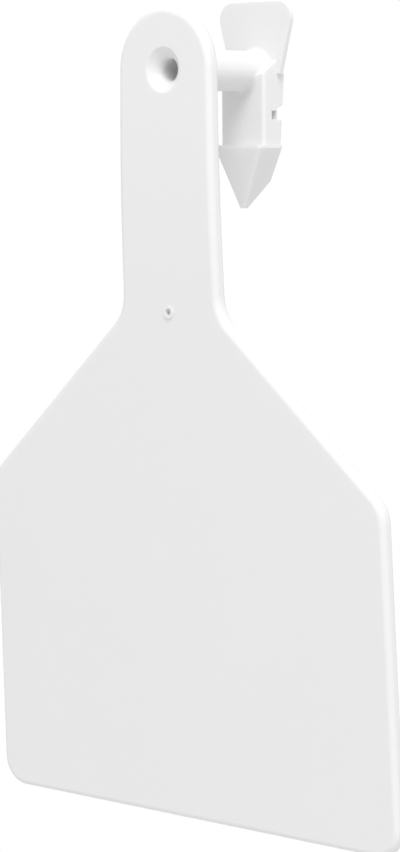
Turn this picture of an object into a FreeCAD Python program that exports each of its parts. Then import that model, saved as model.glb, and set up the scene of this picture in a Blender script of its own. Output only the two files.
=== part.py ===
# One-piece livestock ear tag, moulded in soft white plastic.
#
# A flat marking panel hangs from a narrow neck. A hollow post stands out of the back of the neck,
# passes through the ear and carries a barbed head: a thin fin above, a ribbed block behind the
# post, and an arrow tip that points down. Everything is one moulding, so everything is one body.
#
# Millimetres. +X is to the right seen from the front, +Y runs back along the post, +Z is up.
# The origin is on the post's axis, at the back face of the neck.
import FreeCAD, Part
import math
import os
import Sketcher
from FreeCAD import Vector

SIZES = [
    # marking panel and neck, seen from the front; drops are measured down from the post's axis
    ("neck_end_radius", 8.6),
    ("neck_root_width", 18.1),
    ("neck_root_drop", 33.6),
    ("shoulder_width", 74.4),
    ("shoulder_drop", 58.2),
    ("panel_width", 76.2),
    ("tag_drop", 105.7),
    ("root_radius", 6.0),
    ("shoulder_radius", 5.0),
    ("corner_radius", 4.0),
    # the same plate from the side: thick neck, thinner panel that leans back under the post
    ("neck_thick", 2.1),
    ("panel_thick", 1.75),
    ("bend_start_drop", 6.0),
    ("bend_radius", 450.0),
    ("panel_lean", 2.7),
    ("front_round", 0.85),
    ("back_round", 0.6),
    # gate mark at the foot of the neck
    ("gate_drop", 33.4),
    ("gate_ring_diameter", 1.8),
    ("gate_ring_height", 0.15),
    ("gate_dimple_diameter", 1.0),
    ("gate_dimple_depth", 0.5),
    # post and the blind bore that takes the applicator's pin
    ("post_diameter", 5.75),
    ("post_base_round", 0.8),
    ("post_flare", 0.65),
    ("bore_diameter", 3.1),
    ("bore_depth", 12.0),
    ("mouth_diameter", 6.3),
    ("mouth_depth", 1.3),
    ("throat_round", 1.5),
    ("mouth_round", 0.3),
    # head: block, ribs and fin, measured back from the neck and down from the post's axis
    ("ear_gap", 14.2),
    ("block_width", 8.2),
    ("block_top_drop", 0.45),
    ("block_foot_drop", 10.42),
    ("block_edge_round", 0.5),
    ("fin_setback", 2.8),
    ("fin_thick", 0.7),
    ("saddle_rise", 2.0),
    ("fin_foot_drop", 0.4),
    ("fin_foot_width", 9.3),
    ("fin_top_width", 14.8),
    ("fin_height", 9.75),
    ("fin_corner_radius", 2.35),
    ("rib_inset", 0.15),
    ("rib_depth_top", 1.05),
    ("rib_depth_foot", 0.2),
    ("notch_top_drop", 4.7),
    ("notch_foot_drop", 6.95),
    ("notch_slant", 0.6),
    ("notch_bite", 0.65),
    ("pit_drop", 6.2),
    ("pit_setback", 2.2),
    ("pit_length", 1.0),
    ("pit_height", 1.2),
    ("pit_depth", 1.0),
    ("channel_width", 3.0),
    ("channel_depth", 1.8),
    ("channel_foot_drop", 13.4),
    ("channel_foot_round", 1.2),
    # arrow tip
    ("arrow_width", 8.7),
    ("arrow_lip", 1.25),
    ("arrow_heel", 0.15),
    ("arrow_rim", 0.45),
    ("knee_drop", 15.5),
    ("tip_drop", 19.35),
    ("tip_back", 0.16),
    ("tip_blunt", 0.9),
    ("arrow_edge_round", 0.5),
    ("tip_edge_round", 0.3),
]

STOCK = 5.0    # spare stock round the plate, all of it trimmed away

doc = FreeCAD.newDocument("EarTag")
sheet = doc.addObject("Spreadsheet::Sheet", "Sizes")
for row, (name, value) in enumerate(SIZES, start=1):
    sheet.set("A%d" % row, name)
    sheet.set("B%d" % row, str(value))
    sheet.setAlias("B%d" % row, name)
doc.recompute()

body = doc.addObject("PartDesign::Body", "EarTagBody")
body.Label = "ear_tag"
body.Placement = FreeCAD.Placement()


# ---------------------------------------------------------------- helpers

def number(formula):
    """The present value of a formula on the sizes."""
    return float(sheet.evalExpression(formula))


def new_sketch(name, role, offset=None):
    """A sketch on one of the body's origin planes, moved along the plane's normal by a formula."""
    sketch = body.newObject("Sketcher::SketchObject", name)
    plane = next(item for item in body.Origin.OriginFeatures if item.Role == role)
    sketch.AttachmentSupport = [(plane, "")]
    sketch.MapMode = "FlatFace"
    if offset:
        sketch.setExpression("AttachmentOffset.Base.z", offset)
    return sketch


def drive(sketch, constraint, formula):
    """Add a dimension and bind it to a formula."""
    index = sketch.addConstraint(constraint)
    sketch.setExpression("Constraints[%d]" % index, formula)


def place(sketch, item, end, across, up):
    """Fix one end of an item at a formula's distance from the sketch's origin."""
    for kind, axis, formula in (("DistanceX", -2, across), ("DistanceY", -1, up)):
        if formula == "0":
            sketch.addConstraint(Sketcher.Constraint("PointOnObject", item, end, axis))
        else:
            drive(sketch, Sketcher.Constraint(kind, -1, 1, item, end, number(formula)), formula)


def profile(sketch, corners, bends={}):
    """A closed profile through corners: two formulas each, and a third for a corner's rounding.

    bends turns the stretch after a corner into an arc: its radius, and 1 or -1 for the way it turns.
    """
    spots = [Vector(number(corner[0]), number(corner[1]), 0) for corner in corners]
    stretches = []
    for index, (start, end) in enumerate(zip(spots, spots[1:] + spots[:1])):
        if index in bends:
            radius, turn = bends[index]
            stretches.append(arc_between(sketch, start, end, radius, turn))
        else:
            stretches.append((sketch.addGeometry(Part.LineSegment(start, end)), 1, 2))
    for (item, _, end), (following, start, _) in zip(stretches, stretches[1:] + stretches[:1]):
        sketch.addConstraint(Sketcher.Constraint("Coincident", item, end, following, start))
    anchors = [(item, start) for item, start, _ in stretches]
    for index, corner in enumerate(corners):
        if len(corner) == 3:
            item, start = anchors[index]
            sketch.fillet(item, start, number(corner[2]), True, True)
            anchors[index] = (sketch.GeometryCount - 1, 1)
    for (item, end), corner in zip(anchors, corners):
        place(sketch, item, end, corner[0], corner[1])
        if len(corner) == 3:
            drive(sketch, Sketcher.Constraint("Radius", item - 1, number(corner[2])), corner[2])
    for index, (radius, _) in bends.items():
        drive(sketch, Sketcher.Constraint("Radius", stretches[index][0], number(radius)), radius)
    return sketch


def arc_between(sketch, start, end, radius, turn):
    """An arc from start to end; gives its number and which of its ends is which."""
    half = (end - start) * 0.5
    rise = math.sqrt(number(radius) ** 2 - half.Length ** 2)
    centre = start + half + Vector(-half.y, half.x, 0).normalize() * rise * turn
    first, last = [math.atan2(arm.y, arm.x) for arm in (start - centre, end - centre)][::turn]
    whole = Part.Circle(centre, Vector(0, 0, 1), number(radius))
    arc = sketch.addGeometry(Part.ArcOfCircle(whole, first, last + (last < first) * 2 * math.pi))
    return (arc, 1, 2) if turn > 0 else (arc, 2, 1)


def circle(sketch, up, diameter):
    """A circle centred on the sketch's upright axis."""
    centre = Vector(0, number(up), 0)
    item = sketch.addGeometry(Part.Circle(centre, Vector(0, 0, 1), number(diameter) / 2))
    place(sketch, item, 3, "0", up)
    drive(sketch, Sketcher.Constraint("Diameter", item, number(diameter)), diameter)
    return sketch


def mirrored(corners):
    """The given right-hand corners followed by their mirror images, in reverse."""
    return corners + [("-(%s)" % corner[0],) + corner[1:] for corner in reversed(corners)]


def extrude(kind, name, sketch, length=None, symmetric=False, reverse=False):
    """A Pad or a Pocket of one sketch; without a length it goes through everything."""
    feature = body.newObject("PartDesign::" + kind, name)
    feature.Profile = sketch
    feature.SideType = "Symmetric" if symmetric else "One side"
    feature.Reversed = reverse
    if length:
        feature.setExpression("Length", length)
    else:
        feature.Type = "ThroughAll"
    doc.recompute()
    return feature


def round_edges(name, radius, wanted):
    """Fillet those edges of the body so far that wanted() picks."""
    base = body.Tip
    names = ["Edge%d" % index for index, edge in enumerate(base.Shape.Edges, start=1) if wanted(edge)]
    feature = body.newObject("PartDesign::Fillet", name)
    feature.Base = (base, names)
    feature.setExpression("Radius", radius)
    doc.recompute()
    return feature


def near(found, wanted):
    return abs(found - wanted) < 1e-3


# ---------------------------------------------------------------- plate: neck and marking panel

def plate_section():
    """Side view of the plate: upright neck, one long gentle bend, and a panel that leans back.

    The panel's front leans a little more than its back, so the plate thins towards its foot.
    """
    top = "Sizes.neck_end_radius + %g" % STOCK
    foot = "-Sizes.tag_drop - %g" % STOCK
    bend_top = "-Sizes.bend_start_drop"
    front_lean = "(Sizes.panel_lean * 1 deg)"
    taper = "atan((Sizes.neck_thick - Sizes.panel_thick) / (Sizes.tag_drop - Sizes.bend_start_drop))"
    back_lean = "(Sizes.panel_lean * 1 deg - %s)" % taper
    front_radius = "(Sizes.bend_radius + Sizes.neck_thick)"

    def skin(face, radius, lean):
        """Corners of one skin, from the top down: straight, bend, straight."""
        knee = "(%s + %s * (1 - cos(%s)))" % (face, radius, lean)
        knee_up = "(%s - %s * sin(%s))" % (bend_top, radius, lean)
        foot_in = "%s + tan(%s) * (%s - (%s))" % (knee, lean, knee_up, foot)
        return [(face, top), (face, bend_top), (knee, knee_up), (foot_in, foot)]

    front = skin("-Sizes.neck_thick", front_radius, front_lean)
    back = skin("0 * Sizes.neck_thick", "Sizes.bend_radius", back_lean)
    bends = {1: (front_radius, 1), 5: ("Sizes.bend_radius", -1)}
    return profile(new_sketch("PlateSection", "YZ_Plane"), front + back[::-1], bends)


def tag_outline():
    """Front view: everything outside the tag, as a block of stock with the tag's outline in it."""
    sketch = new_sketch("TagOutline", "XZ_Plane")
    root = "Sizes.neck_root_width / 2"
    turn = ("(acos(Sizes.neck_end_radius / sqrt(Sizes.neck_root_drop ^ 2 + (%s) ^ 2))"
            " - atan(Sizes.neck_root_drop / (%s)))" % (root, root))
    right = [
        ("Sizes.panel_width / 2", "-Sizes.tag_drop", "Sizes.corner_radius"),
        ("Sizes.shoulder_width / 2", "-Sizes.shoulder_drop", "Sizes.shoulder_radius"),
        (root, "-Sizes.neck_root_drop", "Sizes.root_radius"),
        ("Sizes.neck_end_radius * cos%s" % turn, "Sizes.neck_end_radius * sin%s" % turn),
    ]
    profile(sketch, mirrored(right), {3: ("Sizes.neck_end_radius", 1)})
    stock_side = "Sizes.panel_width / 2 + %g" % (2 * STOCK)
    stock = [(stock_side, "-Sizes.tag_drop - %g" % (2 * STOCK)),
             (stock_side, "Sizes.neck_end_radius + %g" % (2 * STOCK))]
    profile(sketch, mirrored(stock))
    return sketch


def rim_of(side):
    """Picks the edges between the plate's front (-1) or back (1) skin and its rim."""
    skins = [face for face in body.Tip.Shape.Faces if facing(face) * side > 0.9]

    def wanted(edge):
        owners = [skin for skin in skins if any(edge.isSame(other) for other in skin.Edges)]
        return len(owners) == 1
    return wanted


def facing(face):
    """How far a face looks along +Y, from -1 to 1, at its middle."""
    low_u, high_u, low_v, high_v = face.ParameterRange
    return face.normalAt((low_u + high_u) / 2, (low_v + high_v) / 2).y


def make_plate():
    width = "Sizes.panel_width + %g" % (2 * STOCK)
    extrude("Pad", "PlateBlank", plate_section(), width, symmetric=True)
    extrude("Pocket", "PlateTrim", tag_outline(), symmetric=True)
    round_edges("FrontEdgeRound", "min(Sizes.front_round; 0.5 * Sizes.panel_thick)", rim_of(-1))
    round_edges("BackEdgeRound", "min(Sizes.back_round; 0.4 * Sizes.panel_thick)", rim_of(1))


# ---------------------------------------------------------------- head behind the ear

FIN_FRONT = "(Sizes.ear_gap + Sizes.fin_setback)"
FIN_BACK = "(Sizes.ear_gap + Sizes.fin_setback + Sizes.fin_thick)"
RIB_TOP_BACK = "(%s + Sizes.rib_depth_top)" % FIN_BACK
RIB_FOOT_BACK = "(%s + Sizes.rib_depth_foot)" % FIN_BACK
BLOCK_TOP = "(-Sizes.block_top_drop)"
BLOCK_FOOT = "(-Sizes.block_foot_drop)"
SADDLE_TOP = "(Sizes.saddle_rise - Sizes.block_top_drop)"


def make_post():
    post = circle(new_sketch("PostCircle", "XZ_Plane"), "0", "Sizes.post_diameter")
    extrude("Pad", "Post", post, FIN_BACK, reverse=True)


def make_block():
    """The block behind the post: its top slopes up to the fin, its ribs stand off its back."""
    block = profile(new_sketch("BlockSection", "YZ_Plane"), [
        ("Sizes.ear_gap", BLOCK_FOOT),
        ("Sizes.ear_gap", BLOCK_TOP),
        (FIN_FRONT, SADDLE_TOP),
        (FIN_BACK, SADDLE_TOP),
        (FIN_BACK, BLOCK_FOOT),
    ])
    extrude("Pad", "Block", block, "Sizes.block_width", symmetric=True)
    round_edges("BlockEdgeRound", "Sizes.block_edge_round", upright_at("Sizes.ear_gap"))
    ribs = profile(new_sketch("RibSection", "YZ_Plane"), [
        (FIN_FRONT, BLOCK_FOOT),
        (FIN_FRONT, "-Sizes.fin_foot_drop"),
        (RIB_TOP_BACK, "-Sizes.fin_foot_drop"),
        (RIB_FOOT_BACK, BLOCK_FOOT),
    ])
    extrude("Pad", "Ribs", ribs, "Sizes.block_width - 2 * Sizes.rib_inset", symmetric=True)


def upright_at(depth):
    """Picks the upright edges at a depth along the post's axis."""
    def wanted(edge):
        box = edge.BoundBox
        return (near(box.YMin, number(depth)) and near(box.YMax, number(depth))
                and near(box.XLength, 0) and box.ZLength > 1)
    return wanted


def make_fin():
    """The thin fin above the block, wider at its rounded top."""
    sketch = new_sketch("FinOutline", "XZ_Plane", "-" + FIN_FRONT)
    profile(sketch, mirrored([
        ("Sizes.fin_foot_width / 2", "-Sizes.fin_foot_drop"),
        ("Sizes.fin_top_width / 2", "Sizes.fin_height", "Sizes.fin_corner_radius"),
    ]))
    extrude("Pad", "Fin", sketch, "Sizes.fin_thick", reverse=True)


def arrow_section(name, width, drop, front, back, rounding="Sizes.arrow_edge_round"):
    """One level cut through the arrow tip."""
    sketch = new_sketch(name, "XY_Plane", "-(%s)" % drop)
    half = "(%s) / 2" % width
    return profile(sketch, mirrored([(half, front, rounding), (half, back, rounding)]))


def make_arrow():
    """The barbed tip: a proud rim, then sides that run straight to the point."""
    front = "Sizes.ear_gap - Sizes.arrow_lip"
    back = RIB_FOOT_BACK + " + Sizes.arrow_heel"
    rim_foot = "Sizes.block_foot_drop + Sizes.arrow_rim"
    point = "(Sizes.ear_gap - Sizes.tip_back)"
    share = "(Sizes.knee_drop - (%s)) / (Sizes.tip_drop - (%s))" % (rim_foot, rim_foot)

    def along(start, end):
        """Where a straight edge from the rim to the point is at the knee."""
        return "(%s) + ((%s) - (%s)) * %s" % (start, end, start, share)

    rim = arrow_section("ArrowRimSection", "Sizes.arrow_width", rim_foot, front, back)
    extrude("Pad", "ArrowRim", rim, "Sizes.arrow_rim")
    base = arrow_section("ArrowBaseSection", "Sizes.arrow_width", rim_foot, front, back)
    knee = arrow_section("ArrowKneeSection", along("Sizes.arrow_width", "Sizes.tip_blunt"),
                         "Sizes.knee_drop", along(front, point), back)
    tip = arrow_section("ArrowTipSection", "Sizes.tip_blunt", "Sizes.tip_drop",
                        point, point + " + Sizes.tip_blunt", "Sizes.tip_edge_round")
    loft = body.newObject("PartDesign::AdditiveLoft", "ArrowTip")
    loft.Profile = base
    loft.Sections = [knee, tip]
    loft.Ruled = True
    doc.recompute()


def flare_post():
    """Soft roots where the post grows out of the neck and into the head."""
    round_edges("PostRootRound", "Sizes.post_base_round", ring_at("0", "Sizes.post_diameter"))

    round_edges("PostHeadRound", "Sizes.post_flare", arc_at("Sizes.ear_gap"))
    round_edges("PostFinRound", "Sizes.post_flare", arc_at(FIN_FRONT))


def arc_at(depth):
    """Picks the post's own outline on a face of the head, at a depth along the post's axis."""
    def wanted(edge):
        box = edge.BoundBox
        flat = near(box.YMin, number(depth)) and near(box.YMax, number(depth))
        return flat and near(getattr(edge.Curve, "Radius", 0), number("Sizes.post_diameter / 2"))
    return wanted


def ring_at(depth, diameter):
    """Picks the full circle of a diameter round the post's axis, at a depth along it."""
    def wanted(edge):
        box = edge.BoundBox
        return (near(box.YMin, number(depth)) and near(box.YMax, number(depth))
                and near(box.XLength, number(diameter)) and near(box.ZLength, number(diameter)))
    return wanted


def make_bore():
    """A funnel mouth in the neck's front and a blind bore up the post."""
    section = profile(new_sketch("BoreSection", "YZ_Plane"), [
        ("-Sizes.neck_thick", "0"),
        ("-Sizes.neck_thick", "Sizes.mouth_diameter / 2"),
        ("Sizes.mouth_depth - Sizes.neck_thick", "Sizes.bore_diameter / 2", "Sizes.throat_round"),
        ("Sizes.bore_depth - Sizes.neck_thick - Sizes.bore_diameter / 2", "Sizes.bore_diameter / 2"),
        ("Sizes.bore_depth - Sizes.neck_thick", "0"),
    ])
    groove = body.newObject("PartDesign::Groove", "PinBore")
    groove.Profile = section
    groove.ReferenceAxis = (section, ["H_Axis"])
    doc.recompute()
    round_edges("MouthRound", "Sizes.mouth_round", ring_at("-Sizes.neck_thick", "Sizes.mouth_diameter"))


def cut(name, sketch, length=None, symmetric=False, reverse=False):
    """A Pocket that has to take something away."""
    before = body.Shape.Volume
    feature = extrude("Pocket", name, sketch, length, symmetric, reverse)
    if body.Shape.Volume > before - 1e-3:
        raise RuntimeError(name + " cuts nothing")
    return feature


def cut_head():
    """The notch across the ribs, a small pit in each side, and the channel down the back."""
    notch = profile(new_sketch("NotchSection", "YZ_Plane"), [
        (FIN_BACK + " - Sizes.notch_bite", "-Sizes.notch_foot_drop"),
        (FIN_BACK + " - Sizes.notch_bite", "-Sizes.notch_top_drop - Sizes.notch_slant"),
        (RIB_TOP_BACK, "-Sizes.notch_top_drop"),
        (RIB_TOP_BACK, "-Sizes.notch_foot_drop"),
    ])
    cut("RibNotch", notch, symmetric=True)
    pit_front = "(Sizes.ear_gap + Sizes.pit_setback - Sizes.pit_length / 2)"
    pit = profile(new_sketch("PitSection", "YZ_Plane", "Sizes.block_width / 2"), [
        (pit_front, "-Sizes.pit_drop - Sizes.pit_height / 2"),
        (pit_front, "-Sizes.pit_drop + Sizes.pit_height / 2"),
        (pit_front + " + Sizes.pit_length", "-Sizes.pit_drop + Sizes.pit_height / 2"),
        (pit_front + " + Sizes.pit_length", "-Sizes.pit_drop - Sizes.pit_height / 2"),
    ])
    both_sides(cut("SidePit", pit, "Sizes.pit_depth"), "SidePits")
    channel = new_sketch("ChannelOutline", "XZ_Plane", "-(%s - Sizes.channel_depth)" % RIB_FOOT_BACK)
    profile(channel, mirrored([
        ("Sizes.channel_width / 2", "-Sizes.channel_foot_drop", "Sizes.channel_foot_round"),
        ("Sizes.channel_width / 2", "-Sizes.fin_foot_drop"),
    ]))
    cut("PinChannel", channel)


def both_sides(feature, name):
    """The same cut on the other side of the middle."""
    pair = body.newObject("PartDesign::Mirrored", name)
    pair.Originals = [feature]
    middle = next(item for item in body.Origin.OriginFeatures if item.Role == "YZ_Plane")
    pair.MirrorPlane = (middle, [""])
    body.Tip = pair
    doc.recompute()


def make_gate():
    """The small ringed dimple where the plastic was fed in, on the neck's front."""
    lean = "(Sizes.panel_lean * 1 deg)"
    radius = "(Sizes.bend_radius + Sizes.neck_thick)"
    face = ("(%s * (1 - cos(%s)) - Sizes.neck_thick + tan(%s) * (Sizes.gate_drop"
            " - Sizes.bend_start_drop - %s * sin(%s)))" % (radius, lean, lean, radius, lean))
    ring = circle(new_sketch("GateRing", "XZ_Plane", "Sizes.gate_ring_height - " + face),
                  "-Sizes.gate_drop", "Sizes.gate_ring_diameter")
    extrude("Pad", "GateBoss", ring, "Sizes.gate_ring_height + Sizes.neck_thick / 2", reverse=True)
    dimple = circle(new_sketch("GateDimple", "XZ_Plane", "Sizes.gate_ring_height - " + face),
                    "-Sizes.gate_drop", "Sizes.gate_dimple_diameter")
    cut("GatePit", dimple, "Sizes.gate_ring_height + Sizes.gate_dimple_depth")


make_plate()
make_post()
make_block()
make_fin()
flare_post()
make_bore()
make_arrow()
cut_head()
make_gate()


# ---------------------------------------------------------------- check and write

doc.recompute()
for item in doc.Objects:
    if any(word in item.State for word in ("Invalid", "Error")):
        raise RuntimeError("%s did not compute: %s" % (item.Name, item.State))
if body.Shape.isNull() or not body.Shape.isValid():
    raise RuntimeError("the tag's solid is not valid")
print("solids", len(body.Shape.Solids), "volume", round(body.Shape.Volume, 1), "box", body.Shape.BoundBox)
os.makedirs("parts", exist_ok=True)
body.Shape.exportStep("parts/%s.step" % body.Label)
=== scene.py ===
# %% [markdown]
# A livestock ear tag in soft white plastic, dressed and lit.
#
# The whole tag is one moulding: a flat marking panel, a narrow neck, a hollow post and a barbed
# head. Its shape comes ready made and in metres, and no piece is added to it, so this file only
# gives it the finish of real moulded plastic and sets up the camera and the light. The tag's size is
# noted before anything is added.

# %% Load the frame
import math
import bpy
from mathutils import Matrix, Vector


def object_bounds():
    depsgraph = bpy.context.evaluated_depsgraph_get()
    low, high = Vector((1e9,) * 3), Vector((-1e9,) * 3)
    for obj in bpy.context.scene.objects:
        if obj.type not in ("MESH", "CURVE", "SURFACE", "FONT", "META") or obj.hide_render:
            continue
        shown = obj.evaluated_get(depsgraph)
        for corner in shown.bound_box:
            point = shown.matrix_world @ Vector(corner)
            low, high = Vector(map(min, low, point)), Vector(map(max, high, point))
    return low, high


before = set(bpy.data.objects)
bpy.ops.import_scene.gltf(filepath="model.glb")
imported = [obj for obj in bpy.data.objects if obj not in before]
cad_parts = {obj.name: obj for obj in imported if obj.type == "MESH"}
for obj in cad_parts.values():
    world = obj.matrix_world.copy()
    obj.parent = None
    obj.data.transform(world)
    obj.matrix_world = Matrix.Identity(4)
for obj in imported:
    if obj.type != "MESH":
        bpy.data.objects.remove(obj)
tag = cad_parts["ear_tag"]
cad_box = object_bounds()
bpy.ops.object.select_all(action="DESELECT")
height = (cad_box[1] - cad_box[0]).z
print("tag", len(tag.data.polygons), "faces, height", round(height * 1000, 1), "mm")

# %% [markdown]
# The camera stands well back with a long lens, a little to the right of the tag's front and just
# above its middle. A long lens keeps the panel's sides nearly parallel. The turn, the downward tilt
# and the slight roll are three rotations, multiplied in that order.

# %% Camera
scene = bpy.context.scene
scene.view_settings.view_transform = "Standard"
eye = Vector((0.2767, -0.2933, -0.0101))
turn, tilt, roll = math.radians(42.86), math.radians(5.57), math.radians(-0.47)
image_rows, focal_rows = 852, 2900    # the image's long side and the focal length, in the same unit
sensor = 36.0
bpy.ops.object.camera_add(location=eye)
camera = bpy.context.object
camera.name = "camera"
camera.matrix_world = (Matrix.Translation(eye) @ Matrix.Rotation(turn, 4, "Z")
                       @ Matrix.Rotation(math.pi / 2 - tilt, 4, "X") @ Matrix.Rotation(roll, 4, "Z"))
camera.data.sensor_width = sensor
camera.data.lens = focal_rows * sensor / image_rows
scene.camera = camera
print("lens", round(camera.data.lens, 1), "mm, distance", round(eye.length * 1000), "mm")

# %% [markdown]
# Moulded plastic isn't a flat colour. The mould's surface leaves a very fine grain, the melt leaves
# faint clouds where it flowed, and handling leaves the gloss a little uneven. One node group makes
# all three from Object coordinates, so that every piece in this plastic can share it. The group
# gives out a tint, a roughness and a normal, and each material keeps its own shader.

# %% Node group: moulded plastic skin
BASE_TONE = 0.815            # the plastic's white before its clouds are added
CLOUD_SCALE = 60.0
RUB_SCALE = 180.0
SMOOTHEST, ROUGHEST = 0.44, 0.56
GRAIN_REACH = 0.00002        # metres from the grain's lowest to its highest


def socket(group, name, side, kind, value=None):
    made = group.interface.new_socket(name=name, in_out=side, socket_type=kind)
    if value is not None:
        made.default_value = value


def moulded_skin():
    group = bpy.data.node_groups.new("moulded_skin", "ShaderNodeTree")
    socket(group, "Grain size", "INPUT", "NodeSocketFloat", 5000.0)
    socket(group, "Grain depth", "INPUT", "NodeSocketFloat", 0.12)
    socket(group, "Cloud", "INPUT", "NodeSocketFloat", 0.012)
    socket(group, "Tint", "OUTPUT", "NodeSocketColor")
    socket(group, "Roughness", "OUTPUT", "NodeSocketFloat")
    socket(group, "Normal", "OUTPUT", "NodeSocketVector")
    nodes, links = group.nodes, group.links
    given, result = nodes.new("NodeGroupInput"), nodes.new("NodeGroupOutput")
    place = nodes.new("ShaderNodeTexCoord")

    clouds = nodes.new("ShaderNodeTexNoise")
    clouds.inputs["Scale"].default_value = CLOUD_SCALE
    clouds.inputs["Detail"].default_value = 3.0
    links.new(place.outputs["Object"], clouds.inputs["Vector"])
    spread = nodes.new("ShaderNodeMath")
    spread.operation = "MULTIPLY_ADD"
    links.new(clouds.outputs["Fac"], spread.inputs[0])
    links.new(given.outputs["Cloud"], spread.inputs[1])
    spread.inputs[2].default_value = BASE_TONE
    tint = nodes.new("ShaderNodeCombineColor")
    for channel in ("Red", "Green", "Blue"):
        links.new(spread.outputs[0], tint.inputs[channel])
    links.new(tint.outputs["Color"], result.inputs["Tint"])

    rub = nodes.new("ShaderNodeTexNoise")
    rub.inputs["Scale"].default_value = RUB_SCALE
    rub.inputs["Detail"].default_value = 4.0
    links.new(place.outputs["Object"], rub.inputs["Vector"])
    gloss = nodes.new("ShaderNodeMapRange")
    gloss.inputs["To Min"].default_value = SMOOTHEST
    gloss.inputs["To Max"].default_value = ROUGHEST
    links.new(rub.outputs["Fac"], gloss.inputs["Value"])
    links.new(gloss.outputs["Result"], result.inputs["Roughness"])

    grain = nodes.new("ShaderNodeTexNoise")
    grain.inputs["Detail"].default_value = 2.0
    links.new(place.outputs["Object"], grain.inputs["Vector"])
    links.new(given.outputs["Grain size"], grain.inputs["Scale"])
    bump = nodes.new("ShaderNodeBump")
    bump.inputs["Distance"].default_value = GRAIN_REACH
    links.new(given.outputs["Grain depth"], bump.inputs["Strength"])
    links.new(grain.outputs["Fac"], bump.inputs["Height"])
    links.new(bump.outputs["Normal"], result.inputs["Normal"])
    return group


skin = moulded_skin()
print("node group", skin.name, "with", len(skin.nodes), "nodes")

# %% [markdown]
# The tag's material is the shared skin feeding one shader. Soft plastic of this thickness lets a
# little light in and scatters it back, which is what makes thin edges glow and shadows look gentle,
# so the shader has some subsurface with a reach of about a millimetre.

# %% Material: white tag plastic
def tag_plastic(name, grain_depth):
    material = bpy.data.materials.new(name)
    material.use_nodes = True
    nodes, links = material.node_tree.nodes, material.node_tree.links
    shader = nodes["Principled BSDF"]
    shader.inputs["Subsurface Weight"].default_value = 0.25
    shader.inputs["Subsurface Radius"].default_value = (1.0, 1.0, 1.0)
    shader.inputs["Subsurface Scale"].default_value = 0.0012
    shader.inputs["Specular IOR Level"].default_value = 0.4
    finish = nodes.new("ShaderNodeGroup")
    finish.node_tree = skin
    finish.inputs["Grain depth"].default_value = grain_depth
    links.new(finish.outputs["Tint"], shader.inputs["Base Color"])
    links.new(finish.outputs["Roughness"], shader.inputs["Roughness"])
    links.new(finish.outputs["Normal"], shader.inputs["Normal"])
    return material


white_plastic = tag_plastic("white_tag_plastic", 0.12)
tag.material_slots[0].material = white_plastic
print("material", white_plastic.name, "on", tag.name)

# %% [markdown]
# The sky around the tag fills every side, so that none falls dark. A painted backdrop would do the
# same, but a world needs no mesh. It is white where the camera looks straight at it, and a calmer
# grey where it only lights the tag.

# %% World
world = bpy.data.worlds.new("studio_sky")
scene.world = world
world.use_nodes = True
sky, sky_links = world.node_tree.nodes, world.node_tree.links
sky.clear()


def white_sky(strength):
    light = sky.new("ShaderNodeBackground")
    light.inputs["Color"].default_value = (1, 1, 1, 1)
    light.inputs["Strength"].default_value = strength
    return light


fill = white_sky(0.72)
plain = white_sky(1.0)
ray = sky.new("ShaderNodeLightPath")
seen = sky.new("ShaderNodeMath")
seen.operation = "MAXIMUM"
sky_links.new(ray.outputs["Is Camera Ray"], seen.inputs[0])
sky_links.new(ray.outputs["Is Transmission Ray"], seen.inputs[1])
choose = sky.new("ShaderNodeMixShader")
sky_links.new(seen.outputs[0], choose.inputs["Fac"])
sky_links.new(fill.outputs[0], choose.inputs[1])
sky_links.new(plain.outputs[0], choose.inputs[2])
out = sky.new("ShaderNodeOutputWorld")
sky_links.new(choose.outputs[0], out.inputs["Surface"])
print("sky fill", fill.inputs["Strength"].default_value)

# %% [markdown]
# One big lamp stands high on the right. It makes the upward and right-hand edges a little brighter
# than the face, and its size keeps the shadows soft. A small lamp or a sun would cut them hard.

# %% Lamps
def soft_lamp(name, place, size, power):
    """A square area lamp that looks at the tag's middle."""
    bpy.ops.object.light_add(type="AREA", location=place)
    lamp = bpy.context.object
    lamp.name = name
    lamp.data.size = size
    lamp.data.energy = power
    aim = Vector((0, 0, -0.05)) - Vector(place)
    lamp.rotation_euler = aim.to_track_quat("-Z", "Y").to_euler()
    return lamp


key = soft_lamp("key_lamp", (0.50, -0.475, 0.91), 0.6, 9.0)
print("lamps", key.name)

# %% [markdown]
# The floor is plain and pale, and lies well below the tag, which hangs where its post would be held.
# It is a filled circle, so that no corner of it shows.

# %% Floor
floor_drop, floor_radius = 0.30, 0.6
bpy.ops.mesh.primitive_circle_add(vertices=96, radius=floor_radius, fill_type="NGON",
                                  location=(0, 0, -floor_drop))
floor = bpy.context.object
floor.name = "floor"
floor_paint = bpy.data.materials.new("floor_paint")
floor_paint.use_nodes = True
floor_shader = floor_paint.node_tree.nodes["Principled BSDF"]
floor_shader.inputs["Base Color"].default_value = (0.8, 0.8, 0.8, 1)
floor_shader.inputs["Roughness"].default_value = 0.7
floor.data.materials.append(floor_paint)
print("floor", floor_drop, "m below the post")
